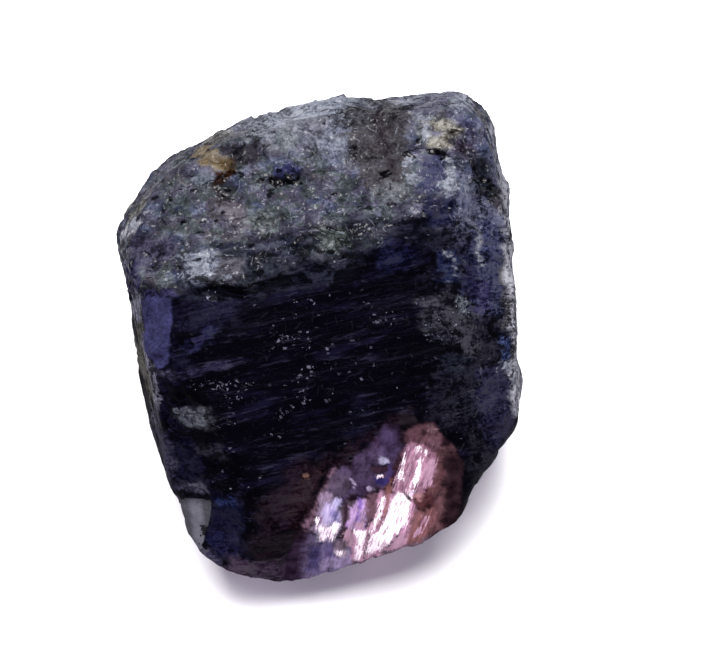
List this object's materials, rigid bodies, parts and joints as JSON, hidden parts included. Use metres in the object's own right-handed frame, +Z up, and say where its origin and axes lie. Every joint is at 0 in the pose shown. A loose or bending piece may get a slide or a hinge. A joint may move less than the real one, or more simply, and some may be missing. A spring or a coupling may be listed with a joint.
{
  "type": "rough tanzanite crystal",
  "caption": "Rough, unpolished tanzanite crystal chunk: a blunt wedge with a dark striated face, a grey crust and a clear violet-pink window.",
  "frame": {"origin": "on the ground, below the middle of the crystal's bounding box", "axes": "+Z up from the flat underside, +Y from the thin toe with the clear window to the thick crusted end, +X to the right of someone facing the window"},
  "size_m": [0.0242, 0.027, 0.0193],
  "materials": {
    "tanzanite": "natural broken crystal, satin to glassy, dark blue-violet with a dull grey crust and a clear pink-violet window"
  },
  "bodies": {
    "root": {"tanzanite_crystal": "tanzanite"}
  },
  "joints": []
}
